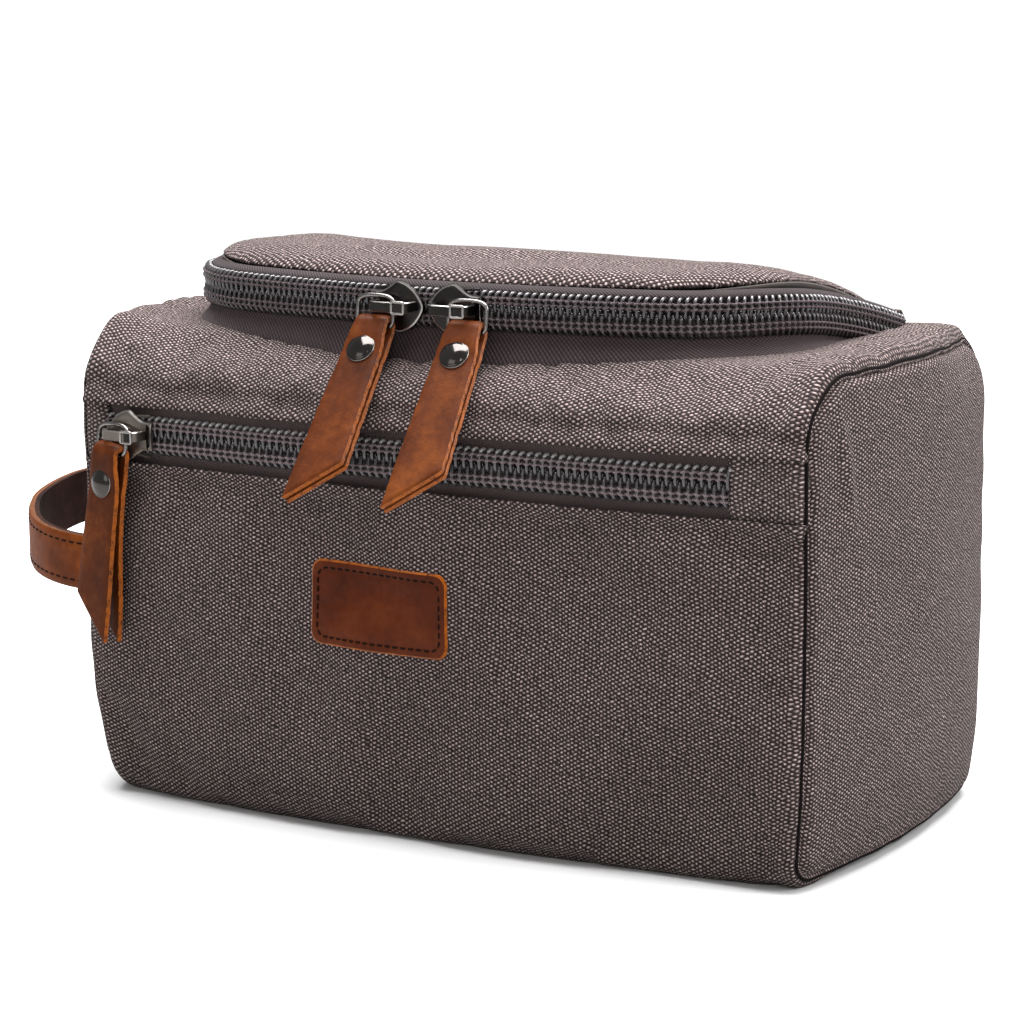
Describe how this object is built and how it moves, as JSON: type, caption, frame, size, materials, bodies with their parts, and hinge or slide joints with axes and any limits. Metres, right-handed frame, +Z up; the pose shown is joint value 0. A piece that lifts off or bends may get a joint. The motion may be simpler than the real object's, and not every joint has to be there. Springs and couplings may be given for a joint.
{
  "type": "shaving kit bag",
  "caption": "Soft box-shaped canvas wash bag with a zipped hinged lid, a zipped front pocket, leather pulls and an end handle.",
  "frame": {"origin": "middle of the base, on the surface that the bag stands on", "axes": "+X along the bag's length with the handle at -X, -Y the front with the pocket, +Z up to the lid"},
  "size_m": [0.2965, 0.1591, 0.1636],
  "materials": {
    "canvas": "heather grey-brown washed cotton canvas, plain weave, visible thread",
    "binding_twill": "dark taupe twill band around the lid opening",
    "zip_tape": "dark taupe herringbone zip tape",
    "zip_coil": "dark gunmetal grey nylon coil, satin",
    "lining": "smooth woven polyester lining, dull sheen",
    "foam": "thin needled padding, matt",
    "board": "stiffener board",
    "leather": "oiled brown pull-up leather, waxed, orange cut edges",
    "leather_back": "dark brown leather lining of the handle",
    "slider_metal": "dark gunmetal plated zinc, worn bright edges",
    "ring_metal": "dark gunmetal plated wire",
    "rivet_metal": "polished gunmetal rivet cap"
  },
  "bodies": {
    "bag": {"body_wrap_panel": "canvas", "top_panel": "canvas", "end_panel_left": "canvas", "end_panel_right": "canvas", "pocket_end_tab_left": "canvas", "pocket_end_tab_right": "canvas", "wall_foam_front": "foam", "wall_foam_back": "foam", "wall_foam_left": "foam", "wall_foam_right": "foam", "base_foam": "foam", "base_board": "board", "body_lining": "lining", "pocket_pouch": "lining", "pocket_zip_tape_lower": "zip_tape", "pocket_zip_tape_upper": "zip_tape", "pocket_coil_lower": "zip_coil", "pocket_coil_upper": "zip_coil", "lid_gusset_band": "binding_twill", "lid_zip_tape_lower": "zip_tape", "lid_coil_lower": "zip_coil", "hinge_panel_lower": "canvas", "leather_label": "leather", "handle_outer_leather": "leather", "handle_inner_leather": "leather_back"},
    "lid": {"lid_panel": "canvas", "lid_foam": "foam", "lid_lining": "lining", "lid_zip_tape_upper": "zip_tape", "lid_coil_upper": "zip_coil", "hinge_panel_upper": "canvas"},
    "lid_left_slider": {"lid_left_slider": "slider_metal", "lid_left_lock_cap": "slider_metal"},
    "lid_left_ring": {"lid_left_ring": "ring_metal"},
    "lid_left_pull": {"lid_left_pull": "leather", "lid_left_rivet": "rivet_metal"},
    "lid_right_slider": {"lid_right_slider": "slider_metal", "lid_right_lock_cap": "slider_metal"},
    "lid_right_ring": {"lid_right_ring": "ring_metal"},
    "lid_right_pull": {"lid_right_pull": "leather", "lid_right_rivet": "rivet_metal"},
    "pocket_slider": {"pocket_slider": "slider_metal", "pocket_lock_cap": "slider_metal"},
    "pocket_ring": {"pocket_ring": "ring_metal"},
    "pocket_pull": {"pocket_pull": "leather", "pocket_rivet": "rivet_metal"}
  },
  "joints": [
    {"name": "lid_hinge", "type": "hinge", "parent": "bag", "child": "lid", "pos_m": [0, 0.0524, 0.1526], "axis": [-1, 0, 0], "range_deg": [0, 120]},
    {"name": "lid_left_slider_track", "type": "hinge", "parent": "bag", "child": "lid_left_slider", "pos_m": [-0.0055, 0.251, 0.1526], "axis": [0, 0, -1], "range_deg": [0, 4.31]},
    {"name": "lid_left_ring_swing", "type": "hinge", "parent": "lid_left_slider", "child": "lid_left_ring", "pos_m": [-0.01391, -0.05538, 0.153], "axis": [-0.9996, 0.0274, 0], "range_deg": [0, 25]},
    {"name": "lid_left_pull_swing", "type": "hinge", "parent": "lid_left_ring", "child": "lid_left_pull", "pos_m": [-0.01953, -0.05596, 0.14705], "axis": [-0.9996, 0.0274, 0], "range_deg": [0, 60]},
    {"name": "lid_right_slider_track", "type": "hinge", "parent": "bag", "child": "lid_right_slider", "pos_m": [-0.0055, 0.251, 0.1526], "axis": [0, 0, 1], "range_deg": [0, 2.85]},
    {"name": "lid_right_ring_swing", "type": "hinge", "parent": "lid_right_slider", "child": "lid_right_ring", "pos_m": [0.00514, -0.05532, 0.153], "axis": [-0.9994, -0.0347, 0], "range_deg": [0, 25]},
    {"name": "lid_right_pull_swing", "type": "hinge", "parent": "lid_right_ring", "child": "lid_right_pull", "pos_m": [0.01076, -0.05585, 0.14705], "axis": [-0.9994, -0.0347, 0], "range_deg": [0, 60]},
    {"name": "pocket_slider_track", "type": "hinge", "parent": "bag", "child": "pocket_slider", "pos_m": [0, 1.17941, 0.111], "axis": [0, 0, 1], "range_deg": [0, 8.48]},
    {"name": "pocket_ring_swing", "type": "hinge", "parent": "pocket_slider", "child": "pocket_ring", "pos_m": [-0.09963, -0.06883, 0.1114], "axis": [-0.9831, 0.1833, 0], "range_deg": [0, 10]},
    {"name": "pocket_pull_swing", "type": "hinge", "parent": "pocket_ring", "child": "pocket_pull", "pos_m": [-0.10418, -0.06925, 0.10553], "axis": [-0.9633, 0.2683, 0], "range_deg": [0, 95]}
  ]
}
